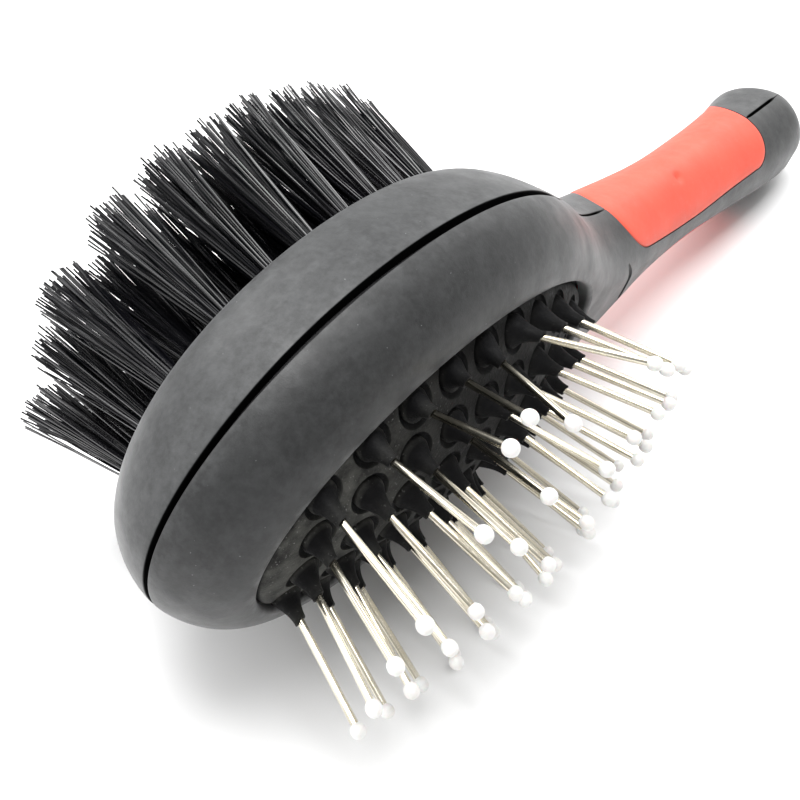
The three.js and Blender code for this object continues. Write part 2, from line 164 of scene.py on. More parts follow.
PIN_FIELD = {"a": 37, "b": 19, "columns": 9, "pitch": 7.8, "step": 7, "offset": -2}
PIN_RADIUS = 0.55
PIN_LENGTH = 20
PIN_LEAN = (0.01, 0.017)
BALL_RADIUS = 1.1
PIN_BENDS = {  # pins out of line in the rubber, by column and place in it: change of slope
    (1, 2): (-0.1, 0),
    (1, 3): (-0.1, 0),
    (1, 4): (0.1, -0.2),
    (2, 2): (-0.1, 0),
    (2, 4): (0.2, -0.3),
    (3, 4): (0.2, -0.2),
    (3, 5): (-0.1, 0),
    (3, 6): (-0.3, 0.4),
    (4, 4): (0.1, -0.2),
    (4, 5): (-0.3, 0.2),
    (4, 6): (-0.6, 0.4),
    (5, 3): (-0.1, -0.1),
    (5, 6): (-0.5, 0),
    (6, 4): (0, -0.1),
    (6, 6): (0.2, 0),
    (7, 6): (0, -0.1),
    (8, 5): (-0.1, -0.1),
    (9, 4): (-0.1, -0.1),
}

TUFT_FIELD = {"a": 36.1, "b": 23.3, "columns": 10, "pitch": 7.4, "step": 7.7, "offset": 0}
TUFT_ROOT, TUFT_TIP = -11.9, -36
TUFT_SUNK = 1.5  # how far the filaments start above the root, inside the board
TUFT_LEAN = (0.001, 0.0083)
TUFT_ROOT_RADIUS = 1.35
TUFT_TIP_RADIUS = (4.1, 4.4)
FILAMENTS = 104
FILAMENT_RADIUS = 0.13
GOLDEN_ANGLE = 2.39996  # from one filament to the next round the tuft, which spreads them evenly

BOARD_TOP, BOARD_SKIRT = -11.6, -3.0
BOARD_GAP = 0.3
DISH_RADII = [2.3, 1.9, 1.5]  # the dish round each tuft's root
DISH_HEIGHTS = [-0.4, 0.02, 1.0]  # over the board's face, where it has those radii

# The grip's edge: heights over the parting plane, and distances behind its front or back end.
GRIP_FRONT, GRIP_BACK = 62.8, 138.5
GRIP_TOP = {"front": 8.8, "middle": 8.7, "back": 9.8}
GRIP_BOTTOM = {"front": -11, "middle": -8.2, "back": -11.4}
GRIP_CORNERS = {"front_top": 9.5, "back_top": -8, "front_bottom": 10, "back_bottom": 10}
GRIP_FRONT_BULGE = -5
GRIP_BACK_BULGE = {"bottom": (0.5, -6), "middle": (0, 2), "top": (0, 10.5)}

GRIP_GAP = 0.1
GRIP_THICKNESS = 2
GRIP_SPINE = {"front": 77, "back": 128, "height": -1.5}  # the line the grip's rings close in on
GRIP_RINGS = [  # distance in from the edge, and how far that ring stands proud of the skin
    (0.0, -0.40),
    (0.08, -0.16),
    (0.25, -0.01),
    (0.6, 0.09),
    (1.2, 0.15),
    (2.2, 0.18),
]
DIMPLE = {"place": (94.8, 2.8), "depth": 0.7, "radius": 1.2}
SECTION_RADIUS = 10  # turns an angle round the handle's section into millimetres of skin


# ------------------------------------------------------------------ outline and skin of the body


def smoothstep(x, low, high):
    t = np.clip((np.asarray(x, float) - low) / (high - low), 0, 1)
    return t * t * (3 - 2 * t)


def lerp(a, b, t):
    return a + (b - a) * t


def along(values, x):
    """A smooth curve through the stations, read at x."""
    xs = np.array(STATION_X, float)
    v = np.array(values, float)
    last = len(xs) - 1
    low = np.maximum(np.arange(last + 1) - 1, 0)
    high = np.minimum(np.arange(last + 1) + 1, last)
    slope = (v[high] - v[low]) / (xs[high] - xs[low])
    x = np.clip(np.asarray(x, float), xs[0], xs[-1])
    i = np.clip(np.searchsorted(xs, x, side="right") - 1, 0, last - 1)
    span = xs[i + 1] - xs[i]
    t = (x - xs[i]) / span
    rise = 3 * t**2 - 2 * t**3
    leave = t**3 - 2 * t**2 + t
    arrive = t**3 - t**2
    return v[i] + (v[i + 1] - v[i]) * rise + span * (leave * slope[i] + arrive * slope[i + 1])


def half_width(x):
    x = np.asarray(x, float)
    head = HEAD_HALF_WIDTH * np.sqrt(np.clip(1 - (x / HEAD_HALF_LENGTH) ** 2, 0, None))
    handle = along(HALF_WIDTHS, np.minimum(x, TAIL_START))
    past = np.clip((x - TAIL_START) / (TAIL_END - TAIL_START), 0, 1)
    return np.where(x <= NECK_START, head, handle * np.sqrt(1 - past**2))


def outline(count=480):
    """Points round the body at even spacing, and their outward normals, anticlockwise."""
    sweep = np.linspace(0, math.pi, 4001)
    middle = (TAIL_END - HEAD_HALF_LENGTH) / 2
    x = middle - (TAIL_END + HEAD_HALF_LENGTH) / 2 * np.cos(sweep)
    y = half_width(x)
    length = np.concatenate([[0], np.cumsum(np.hypot(np.diff(x), np.diff(y)))])
    even = np.linspace(0, length[-1], count // 2 + 1)
    x = np.interp(even, length, x)
    y = np.interp(even, length, y)
    points = np.concatenate(
        [np.stack([x, -y], 1), np.stack([x[-2:0:-1], y[-2:0:-1]], 1)]
    )
    step = np.roll(points, -1, 0) - np.roll(points, 1, 0)
    normals = np.stack([step[:, 1], -step[:, 0]], 1)
    return points, normals / np.linalg.norm(normals, axis=1, keepdims=True)


OUTLINE, NORMALS = outline()


def curl_share(angle):
    return 1 - np.cos(angle) ** (2 / SKIN_POWER)


def height_share(angle):
    return np.sin(angle) ** (2 / SKIN_POWER)


def height_angle(share):
    return np.arcsin(np.clip(share, 0, 0.9999) ** (SKIN_POWER / 2))


def insets(side, x, inwards=0.0):
    """The skin's two insets at x, for a surface that lies inwards of the skin."""
    handle = smoothstep(x, *HEAD_BLEND)
    return [
        np.maximum(lerp(HEAD_INSET[side][k], HANDLE_INSET[k], handle) - inwards, SMALLEST_INSET)
        for k in (0, 1)
    ]


def skin_ring(side, angle, inwards=0.0, pull=0.0):
    """One ring of the skin, moved inwards, and pulled in further by pull."""
    x = OUTLINE[:, 0]
    curl_x, curl_y = insets(side, x, inwards)
    curl = curl_share(angle)
    depth = along(DEPTHS[side], x) - inwards
    return np.stack(
        [
            x - NORMALS[:, 0] * (inwards + pull + curl_x * curl),
            OUTLINE[:, 1] - NORMALS[:, 1] * (inwards + pull + curl_y * curl),
            side * depth * height_share(angle),
        ],
        1,
    )


def slot_share(x, opens, closes):
    return smoothstep(x, *opens) * (1 - smoothstep(x, *closes))


def half_gap(x):
    """Half the width of the gap between the two shells, round the outline."""
    width_share = 1 - GROOVE_NARROWING * (1 - smoothstep(x, *GROOVE_WIDENS))
    groove = GROOVE_HALF_GAP * (1 - smoothstep(x, *GROOVE_FADES)) * width_share
    neck = NECK_SLOT_HALF_GAP * slot_share(x, **NECK_SLOT)
    tail = TAIL_SLOT_HALF_GAP * slot_share(x, **TAIL_SLOT)
    return SEAM_HALF_GAP + groove + neck + tail


def skin_top(x, y):
    """Height of the pin side's skin over a point of the handle."""
    curl = np.clip((half_width(x) - np.abs(y)) / insets(1, x)[1], 0, 1)
    angle = np.arccos((1 - curl) ** (SKIN_POWER / 2))
    return along(DEPTHS[1], x) * height_share(angle)


# ------------------------------------------------------------------ mesh helpers


def strip_lid(start, count, flip):
    """Spans a ring with strips from one side to the other."""
    faces = [(0, 1, count - 1)]
    last = count // 2 - 1
    for i in range(1, last):
        faces.append((i, i + 1, count - i - 1, count - i))
    faces.append((last, last + 1, last + 2))
    order = -1 if flip else 1
    return [tuple(start + v for v in face[::order]) for face in faces]


def ring_faces(count, rings):
    """The side faces between rings of count points each."""
    faces = []
    for level in range(rings - 1):
        a = level * count
        b = a + count
        for i in range(count):
            j = (i + 1) % count
            faces.append((a + i, a + j, b + j, b + i))
    return faces


def ring_stack(rings):
    """A closed solid through rings of the same number of points, with a lid at each end."""
    count = len(rings[0])
    faces = ring_faces(count, len(rings))
    faces += strip_lid(0, count, flip=True)
    faces += strip_lid((len(rings) - 1) * count, count, flip=False)
    return np.concatenate(rings), faces


def ellipse_ring(a, b, z, count):
    angle = np.linspace(0, 2 * math.pi, count, endpoint=False) + math.pi
    z = np.broadcast_to(z, angle.shape)
    return np.stack([a * np.cos(angle), b * np.sin(angle), z], 1)


def join(shapes):
    """Several shapes as one, each a pair of vertices and faces."""
    vertices, faces, start = [], [], 0
    for points, polygons in shapes:
        vertices.append(points)
        faces += [tuple(start + v for v in polygon) for polygon in polygons]
        start += len(points)
    return np.concatenate(vertices), faces


RING_START = [0.31, 0.95, 0.05]  # the first point of a tube's ring lies square to this direction


def tube(points, radii, sides):
    """A capped tube through points, with its own radius at each."""
    points = np.asarray(points, float)
    radii = np.broadcast_to(radii, len(points))
    heading = np.gradient(points, axis=0)
    heading /= np.linalg.norm(heading, axis=1, keepdims=True)
    aside = np.cross(heading, RING_START)
    aside /= np.linalg.norm(aside, axis=1, keepdims=True)
    across = np.cross(heading, aside)
    angle = np.linspace(0, 2 * math.pi, sides, endpoint=False)
    rings = (
        points[:, None]
        + aside[:, None] * (radii[:, None] * np.cos(angle))[..., None]
        + across[:, None] * (radii[:, None] * np.sin(angle))[..., None]
    )
    faces = ring_faces(sides, len(points))
    faces.append(tuple(range(sides))[::-1])
    faces.append(tuple(range((len(points) - 1) * sides, len(points) * sides)))
    return rings.reshape(-1, 3), faces


def make_mesh(name, shape):
    vertices, faces = shape
    mesh = bpy.data.meshes.new(name)
    mesh.from_pydata(to_world(vertices).tolist(), [], faces)
    mesh.validate()
    thing = bpy.data.objects.new(name, mesh)
    bpy.context.scene.collection.objects.link(thing)
    return thing


def carve(thing, shape, operation="DIFFERENCE"):
    """Cuts a shape out of a thing, or joins it on."""
    cutter = make_mesh("cutter", shape)
    modifier = thing.modifiers.new("cut", "BOOLEAN")
    modifier.operation = operation
    modifier.solver = "MANIFOLD"
    modifier.object = cutter
    graph = bpy.context.evaluated_depsgraph_get()
    carved = bpy.data.meshes.new_from_object(thing.evaluated_get(graph))
    thing.modifiers.clear()
    thing.data = carved
    bpy.data.objects.remove(cutter)


def dress(thing, material, sharp=35):
    mesh = thing.data
    mesh.materials.clear()
    mesh.materials.append(material)
    mesh.shade_smooth()
    mesh.set_sharp_from_angle(angle=math.radians(sharp))


def finish_piece(thing, material, body, replaced=(), sharp=35):
    dress(thing, material, sharp)
    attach(thing, body)
    if replaced:
        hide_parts(*replaced)
    return thing


def set_attribute(thing, name, values):
    attribute = thing.data.attributes.new(name, "FLOAT", "POINT")
    attribute.data.foreach_set("value", np.asarray(values, np.float32))


def brush_coordinates(thing):
    """The piece's vertices, back in brush-frame millimetres."""
    flat = np.zeros(len(thing.data.vertices) * 3, np.float32)
    thing.data.vertices.foreach_get("co", flat)
    return (flat.reshape(-1, 3) - np.array(head_centre)) @ np.array(turn) / MM


# ------------------------------------------------------------------ materials


class Nodes:
    """A material's node tree, built by short calls."""

    def __init__(self, name):
        self.material = bpy.data.materials.new(name)
        self.material.use_nodes = True
        self.tree = self.material.node_tree
        self.shader = self.tree.nodes["Principled BSDF"]
        self.place = self.add("ShaderNodeTexCoord").outputs["Object"]

    def add(self, kind, **settings):
        node = self.tree.nodes.new(kind)
        for key, value in settings.items():
            setattr(node, key, value)
        return node

    def link(self, source, target):
        self.tree.links.new(source, target)

    def noise(self, size_mm, detail, roughness):
        node = self.add("ShaderNodeTexNoise")
        node.inputs["Scale"].default_value = 1000 / size_mm
        node.inputs["Detail"].default_value = detail
        node.inputs["Roughness"].default_value = roughness
        self.link(self.place, node.inputs["Vector"])
        return node.outputs["Fac"]

    def ramp(self, source, low, high, from_value=0.0, to_value=1.0):
        node = self.add("ShaderNodeMapRange")
        node.inputs["From Min"].default_value = low
        node.inputs["From Max"].default_value = high
        node.inputs["To Min"].default_value = from_value
        node.inputs["To Max"].default_value = to_value
        self.link(source, node.inputs["Value"])
        return node.outputs["Result"]

    def math(self, operation, a, b):
        node = self.add("ShaderNodeMath", operation=operation)
        for socket, value in zip(node.inputs, (a, b)):
            if isinstance(value, (int, float)):
                socket.default_value = value
            else:
                self.link(value, socket)
        return node.outputs["Value"]

    def mix(self, amount, a, b):
        node = self.add("ShaderNodeMix", data_type="RGBA")
        self.link(amount, node.inputs["Factor"])
        for name, value in (("A", a), ("B", b)):
            socket = [s for s in node.inputs if s.name == name and s.type == "RGBA"][0]
            if isinstance(value, tuple):
                socket.default_value = (*value, 1)
            else:
                self.link(value, socket)
        return [s for s in node.outputs if s.type == "RGBA"][0]

    def attribute(self, name):
        return self.add("ShaderNodeAttribute", attribute_name=name).outputs["Fac"]

    def bump(self, height, distance_mm, strength=1.0, under=None):
        node = self.add("ShaderNodeBump")
        node.inputs["Distance"].default_value = distance_mm * MM
        node.inputs["Strength"].default_value = strength
        self.link(height, node.inputs["Height"])
        if under:
            self.link(under, node.inputs["Normal"])
        return node.outputs["Normal"]

    def set(self, **values):
        for name, value in values.items():
            socket = self.shader.inputs[name.replace("_", " ")]
            if isinstance(value, (int, float, tuple)):
                socket.default_value = (*value, 1) if isinstance(value, tuple) else value
            else:
                self.link(value, socket)
        return self.material


def soft_touch(name, tone):
    """Matte rubbery coating: mottled, with dusty specks, and paler where the shells meet, partly
    scuffed and partly a painted highlight. The walls of the groove and the slots get painted shade
    in near-black, and a tone under 1 paints a darker, shaded copy of the whole coating.
    """
    n = Nodes(name)

    # tone scales the whole colour: below 1 it paints a darker, shaded copy of the coating.
    def grey(level):
        return (tone * level, tone * level * 1.03, tone * level * 1.05)

    clouds = n.ramp(n.noise(14, 3, 0.6), 0.35, 0.68)
    base = n.mix(clouds, grey(0.022), grey(0.038))
    grit = n.ramp(n.noise(0.9, 3, 0.6), 0.35, 0.7)
    base = n.mix(n.math("MULTIPLY", grit, 0.4), base, grey(0.066))
    blotches = n.ramp(n.noise(2.6, 4, 0.65), 0.46, 0.72)
    base = n.mix(n.math("MULTIPLY", blotches, 0.55), base, grey(0.072))
    # Paler scuffs by the groove and along the pin opening's rim: partly worn coating, partly a
    # painted highlight.
    scuffs_and_highlight = n.math("MULTIPLY", n.attribute("wear_and_highlight"), n.ramp(n.noise(3.4, 5, 0.7), 0.46, 0.66))
    base = n.mix(n.math("MULTIPLY", scuffs_and_highlight, 0.75), base, grey(0.15))
    specks = n.ramp(n.noise(0.42, 1, 0.4), 0.80, 0.83)
    base = n.mix(n.math("MULTIPLY", specks, 0.5), base, grey(0.36))
    # Painted shade: the walls of the groove and the slots are coloured near-black, with their
    # specular level and sheen turned down.
    cleft_painted_shade = n.attribute("cleft_painted_shade")
    base = n.mix(cleft_painted_shade, base, grey(0.003))
    roughness = n.ramp(n.noise(5, 4, 0.6), 0.3, 0.7, 0.40, 0.58)
    grain = n.bump(n.noise(0.22, 2, 0.6), 0.03, 0.5)
    dents = n.bump(n.noise(3.0, 3, 0.55), 0.07, 0.6, under=grain)
    return n.set(
        Base_Color=base,
        Roughness=roughness,
        Normal=dents,
        Specular_IOR_Level=n.ramp(cleft_painted_shade, 0, 1, 0.4, 0.02),
        Sheen_Weight=n.ramp(cleft_painted_shade, 0, 1, 0.2, 0),
        Sheen_Roughness=0.35,
    )


def grip_rubber():
    """Coral-red thermoplastic rubber with a faint moulded grain."""
    n = Nodes("grip_coral_rubber")
    clouds = n.ramp(n.noise(12, 3, 0.6), 0.35, 0.7)
    base = n.mix(clouds, (0.70, 0.079, 0.043), (0.77, 0.098, 0.056))
    marks = n.ramp(n.noise(2.2, 4, 0.7), 0.60, 0.78)
    base = n.mix(n.math("MULTIPLY", marks, 0.3), base, (0.72, 0.17, 0.13))
    roughness = n.ramp(n.noise(3, 3, 0.6), 0.3, 0.7, 0.48, 0.62)
    grain = n.bump(n.noise(0.3, 2, 0.6), 0.03, 0.45)
    return n.set(
        Base_Color=base,
        Roughness=roughness,
        Normal=grain,
        Subsurface_Weight=0.06,
        Subsurface_Scale=0.002,
    )


def cushion_rubber():
    """Matte black natural rubber with dusty specks, paler towards the front, partly a dusty film
    and partly painted light, and painted near-black in the dishes and on the sockets' feet as
    painted shade.
    """
    n = Nodes("cushion_black_rubber")
    clouds = n.ramp(n.noise(6, 4, 0.65), 0.3, 0.7)
    skin = n.mix(clouds, (0.004, 0.004, 0.004), (0.011, 0.0105, 0.01))
    # Paler towards the front of the cushion: partly a dusty film, partly painted light on the lit
    # front.
    front_dust_and_light = n.math("MULTIPLY", n.attribute("dust_and_light"), n.ramp(n.noise(3.0, 4, 0.65), 0.35, 0.65))
    skin = n.mix(front_dust_and_light, skin, (0.075, 0.075, 0.068))
    specks = n.ramp(n.noise(0.36, 2, 0.5), 0.66, 0.72)
    front_speck_share = n.ramp(n.attribute("dust_and_light"), 0, 1, 0.2, 0.8)
    skin = n.mix(n.math("MULTIPLY", specks, front_speck_share), skin, (0.2, 0.2, 0.19))
    # Painted shade: the dishes and the sockets' feet are coloured near-black, less so up the cones.
    base = n.mix(n.attribute("socket"), skin, (0.003, 0.003, 0.0035))
    roughness = n.ramp(n.noise(1.5, 3, 0.6), 0.3, 0.7, 0.55, 0.8)
    pits = n.bump(n.noise(0.45, 3, 0.65), 0.14, 0.9)
    return n.set(Base_Color=base, Roughness=roughness, Normal=pits, Specular_IOR_Level=0.14)


def hard_plastic():
    n = Nodes("hard_black_plastic")
    clouds = n.ramp(n.noise(4, 3, 0.6), 0.3, 0.7)
    base = n.mix(clouds, (0.008, 0.008, 0.009), (0.016, 0.016, 0.018))
    roughness = n.ramp(n.noise(2, 3, 0.6), 0.3, 0.7, 0.42, 0.6)
    grain = n.bump(n.noise(0.25, 2, 0.6), 0.02, 0.4)
    return n.set(Base_Color=base, Roughness=roughness, Normal=grain)


def pin_steel():
    """Bright nickel-plated wire, slightly warm, with fine drawing marks."""
    n = Nodes("pin_nickel_steel")
    tone = n.ramp(n.noise(5, 2, 0.5), 0.3, 0.7)
    base = n.mix(tone, (0.56, 0.52, 0.42), (0.72, 0.68, 0.58))
    roughness = n.ramp(n.noise(0.8, 3, 0.6), 0.3, 0.7, 0.08, 0.18)
    marks = n.bump(n.noise(1.2, 3, 0.6), 0.012, 0.3)
    return n.set(Base_Color=base, Roughness=roughness, Normal=marks, Metallic=1.0)


def tip_plastic():
    """White moulded bead, slightly uneven."""
    n = Nodes("pin_tip_white")
    tone = n.ramp(n.noise(1.2, 3, 0.6), 0.3, 0.7)
    base = n.mix(tone, (0.70, 0.695, 0.675), (0.80, 0.80, 0.78))
    roughness = n.ramp(n.noise(0.8, 3, 0.6), 0.3, 0.7, 0.28, 0.45)
    lumps = n.bump(n.noise(0.7, 2, 0.5), 0.05, 0.6)
    return n.set(
        Base_Color=base,
        Roughness=roughness,
        Normal=lumps,
        Subsurface_Weight=0.15,
        Subsurface_Scale=0.0008,
    )


def nylon():
    """Glossy black filament, each one slightly different."""
    n = Nodes("bristle_black_nylon")
    shade = n.attribute("shade")
    base = n.mix(shade, (0.002, 0.002, 0.003), (0.010, 0.010, 0.012))
    roughness = n.ramp(shade, 0, 1, 0.10, 0.24)
    marks = n.bump(n.noise(0.4, 2, 0.5), 0.01, 0.3)
    return n.set(
        Base_Color=base,
        Roughness=roughness,
        Normal=marks,
        Specular_IOR_Level=n.ramp(shade, 0.3, 1, 0.35, 1.0),
        Coat_Weight=n.ramp(shade, 0.45, 1),
        Coat_IOR=2.0,
        Coat_Roughness=0.12,
    )


def table_top():
    n = Nodes("table_white")
    tone = n.ramp(n.noise(60, 2, 0.5), 0.3, 0.7)
    base = n.mix(tone, (0.82, 0.82, 0.82), (0.86, 0.86, 0.86))
    return n.set(Base_Color=base, Roughness=0.5, Specular_IOR_Level=0.25)


# The pin side's copy is painted darker, as painted shade for the side turned away from the light.
PIN_SIDE_SHADED_COATING = soft_touch("soft_touch_pin_side_shaded", 0.6)
BRISTLE_SIDE_COATING = soft_touch("soft_touch_bristle_side", 1.0)
GRIP_RUBBER = grip_rubber()
CUSHION_RUBBER = cushion_rubber()
HARD_PLASTIC = hard_plastic()
PIN_STEEL = pin_steel()
TIP_PLASTIC = tip_plastic()
NYLON = nylon()


# ------------------------------------------------------------------ shells and frame


def half_body(side):
    """One half of the body as a solid, with a rounded lip at the groove between the halves."""
    x = OUTLINE[:, 0]
    gap = half_gap(x)
    depth = along(DEPTHS[side], x)
    start = height_angle((gap + GROOVE_LIP) / depth)
    face = skin_ring(side, np.zeros(len(x)), pull=GROOVE_DEPTH + FACE_REACH)
    face[:, 2] = side * gap
    rings = [face]
    lip_steps = 5
    for step in range(lip_steps):
        turned = math.pi / 2 * step / lip_steps
        pull = GROOVE_LIP * (1 - math.sin(turned))
        ring = skin_ring(side, start, pull=pull)
        ring[:, 2] = side * (gap + GROOVE_LIP * (1 - math.cos(turned)))
        rings.append(ring)
    levels = 26
    for level in range(levels + 1):
        angle = lerp(start, math.pi / 2, level / levels)
        rings.append(skin_ring(side, angle))
    if side < 0:
        rings = rings[::-1]
    return ring_stack(rings)


def half_cavity(side):
    """The hollow inside one half, reaching past the parting plane."""
    levels = 12
    floor = skin_ring(side, np.zeros(len(OUTLINE)), inwards=WALL)
    floor[:, 2] = -side * WALL
    rings = [floor]
    for level in range(levels + 1):
        rings.append(skin_ring(side, np.full(len(OUTLINE), math.pi / 2 * level / levels), WALL))
    if side < 0:
        rings = rings[::-1]
    return ring_stack(rings)


def opening_cutter(side, a, b, shift=0.0):
    """An oval cutter that flares at the shell's face, which rounds the opening's lip."""
    face = DEPTHS[side][0]
    lip_steps = 6
    past_face = 3
    flare = 0.02
    profile = [(0, 0), (0, face - OPENING_LIP)]
    for step in range(1, lip_steps + 1):
        turned = math.pi / 2 * step / lip_steps
        out = OPENING_LIP * (1 - math.cos(turned))
        profile.append((out, face - OPENING_LIP * (1 - math.sin(turned))))
    profile.append((OPENING_LIP + flare, face + past_face))
    rings = [
        ellipse_ring(a + out, b + out, side * height, 240) + [shift, 0, 0]
        for out, height in profile
    ]
    return ring_stack(rings if side > 0 else rings[::-1])


def quadratic(start, control, end, count=24):
    t = np.linspace(0, 1, count)[:, None]
    start, control, end = (np.array(p, float) for p in (start, control, end))
    return (1 - t) ** 2 * start + 2 * t * (1 - t) * control + t**2 * end


def evenly(path, count):
    length = np.concatenate([[0], np.cumsum(np.linalg.norm(np.diff(path, axis=0), axis=1))])
    even = np.linspace(0, length[-1], count)
    return np.stack([np.interp(even, length, path[:, k]) for k in (0, 1)], 1)


def grip_outline(half_count=110):
    """The grip's edge along X and round the section, from the front corner and back to it."""
    front, back = GRIP_FRONT, GRIP_BACK
    middle = (front + back) / 2
    tip = (front, 0)
    front_top = (front + GRIP_CORNERS["front_top"], GRIP_TOP["front"])
    back_top = (back + GRIP_CORNERS["back_top"], GRIP_TOP["back"])
    front_bottom = (front + GRIP_CORNERS["front_bottom"], GRIP_BOTTOM["front"])
    back_bottom = (back + GRIP_CORNERS["back_bottom"], GRIP_BOTTOM["back"])
    bulge = {name: (back + out, height) for name, (out, height) in GRIP_BACK_BULGE.items()}
    lower = [
        quadratic(tip, (front, GRIP_FRONT_BULGE), front_bottom),
        quadratic(front_bottom, (middle, GRIP_BOTTOM["middle"]), back_bottom),
        quadratic(back_bottom, bulge["bottom"], bulge["middle"]),
    ]
    upper = [
        quadratic(tip, (front, GRIP_TOP["front"]), front_top),
        quadratic(front_top, (middle, GRIP_TOP["middle"]), back_top),
        quadratic(back_top, bulge["top"], bulge["middle"]),
    ]
    lower = evenly(np.concatenate(lower), half_count + 1)
    upper = evenly(np.concatenate(upper), half_count + 1)
    edge = np.concatenate([lower, upper[-2:0:-1]])
    x, z = edge[:, 0], edge[:, 1]
    depth = np.where(z > 0, along(DEPTHS[1], x), along(DEPTHS[-1], x))
    return np.stack([x, np.sign(z) * height_angle(np.abs(z) / depth) * SECTION_RADIUS], 1)


def on_section(x, round_skin):
    """The handle's skin in YZ, by the distance round it from the parting plane."""
    angle = np.clip(np.abs(round_skin) / SECTION_RADIUS, 0, math.pi / 2)
    pin_side = round_skin > 0
    depth = np.where(pin_side, along(DEPTHS[1], x), along(DEPTHS[-1], x))
    inset = np.where(pin_side, insets(1, x)[1], insets(-1, x)[1])
    y = half_width(x) - inset * curl_share(angle)
    return y, np.sign(round_skin) * depth * height_share(angle)


def on_handle(path, proud, side):
    """Points over the handle's skin; side is 1 for the left of the handle and -1 for the right."""
    x, s = path[:, 0], path[:, 1]
    y, z = on_section(x, s)
    nudge = 0.2
    y_before, z_before = on_section(x, s - nudge)
    y_after, z_after = on_section(x, s + nudge)
    out = np.stack([z_after - z_before, y_before - y_after], 1)
    out /= np.linalg.norm(out, axis=1, keepdims=True)
    return np.stack([x, side * (y + out[:, 0] * proud), z + out[:, 1] * proud], 1)


def moved_out(path, distance):
    """A closed path moved outwards, where it runs anticlockwise."""
    step = np.roll(path, -1, 0) - np.roll(path, 1, 0)
    normal = np.stack([step[:, 1], -step[:, 0]], 1)
    normal /= np.linalg.norm(normal, axis=1, keepdims=True)
    return path + normal * distance


def grip_window(side):
    """The cutter that opens the window for one grip."""
    edge = moved_out(grip_outline(), GRIP_GAP)
    below, above = 0.4, 2
    rings = [on_handle(edge, proud, side) for proud in (-GRIP_THICKNESS - below, 0, above)]
    rings.append(rings[-1] * [1, 0, 1] + [0, side * HEAD_HALF_WIDTH, 0])
    return ring_stack(rings if side < 0 else rings[::-1])


def neck_crease():
    """The narrow crease across the pin side of the neck, fading at both ends."""
    y = np.linspace(-CREASE_HALF_LENGTH, CREASE_HALF_LENGTH, 41)
    fade = 1 - np.abs(y / CREASE_HALF_LENGTH) ** 3
    x = CREASE_X - y**2 / (2 * CREASE_BEND_RADIUS)
    z = skin_top(x, y) + lerp(*CREASE_RISES, fade)
    return tube(np.stack([x, y, z], 1), lerp(*CREASE_RADII, fade), 12)


def groove_wear_and_highlight(place, side):
    """How pale the coating is painted beside the groove, more on the pin side: partly worn coating,
    partly a painted highlight on the rounded lip.
    """
    reach = 2.2
    strength = 0.5 if side > 0 else 0.2
    near_groove = np.exp(-((np.abs(place[:, 2]) - GROOVE_HALF_GAP) / reach) ** 2)
    on_head = 1 - smoothstep(place[:, 0], 30, 52)
    return strength * near_groove * on_head


def rim_wear_and_highlight(place):
    """How pale the coating is painted along the rim of the pin side's opening: partly worn coating,
    partly a painted highlight on the rounded lip.
    """
    reach = 0.5
    strength = 1.6
    face = DEPTHS[1][0]
    across = (place[:, 0] - PIN_OPENING_SHIFT) / PIN_OPENING[0]
    down = place[:, 1] / PIN_OPENING[1]
    from_rim = (np.hypot(across, down) - 1) * PIN_OPENING[1]
    on_face = smoothstep(place[:, 2], face - 1.5 * OPENING_LIP, face)
    return strength * on_face * np.exp(-(((from_rim - reach) / reach) ** 2))


def cleft_shade_share(place):
    """1 on the walls of the groove and the slots, where little light gets in: the coating there is
    painted near-black as painted shade.
    """
    gap = half_gap(place[:, 0])
    inside = 1 - smoothstep((np.abs(place[:, 2]) - gap) / GROOVE_LIP, 0.1, 0.9)
    return inside * smoothstep(gap, 0.05, 0.2)


def shell(side, name, opening, shift=0.0):
    thing = make_mesh(name, half_body(side))
    carve(thing, half_cavity(side))
    carve(thing, opening_cutter(side, *opening, shift))
    for hand in (1, -1):
        carve(thing, grip_window(hand))
    if side > 0:
        carve(thing, neck_crease())
    place = brush_coordinates(thing)
    # Paler coating by the groove and along the pin opening's rim: partly worn, partly a painted
    # highlight.
    wear_and_highlight = groove_wear_and_highlight(place, side)
    if side > 0:
        wear_and_highlight = wear_and_highlight + rim_wear_and_highlight(place)
    set_attribute(thing, "wear_and_highlight", wear_and_highlight)
    # Painted shade on the walls of the groove and the slots.
    set_attribute(thing, "cleft_painted_shade", cleft_shade_share(place))
    # The pin side takes the darker copy of the coating: painted shade.
    coating = PIN_SIDE_SHADED_COATING if side > 0 else BRISTLE_SIDE_COATING
    return finish_piece(thing, coating, "brush_body", [name])


def centre_frame():
    """The plate between the shells; its edge is the floor of the groove."""
    rings = []
    for z in (-FRAME_HALF_THICKNESS, FRAME_HALF_THICKNESS):
        ring = skin_ring(1, np.zeros(len(OUTLINE)), pull=GROOVE_DEPTH)
        ring[:, 2] = z
        rings.append(ring)
    thing = make_mesh("centre_frame_plate", ring_stack(rings))
    for hand in (1, -1):
        carve(thing, grip_window(hand))
    return finish_piece(thing, HARD_PLASTIC, "brush_body", ["centre_frame"])


# ------------------------------------------------------------------ grips


def dimple_depth(path):
    """The small moulded dimple near the grip's middle."""
    along_handle, round_skin = (path - DIMPLE["place"]).T
    from_dimple = np.hypot(along_handle, round_skin)
    return DIMPLE["depth"] * np.exp(-((from_dimple / DIMPLE["radius"]) ** 2))


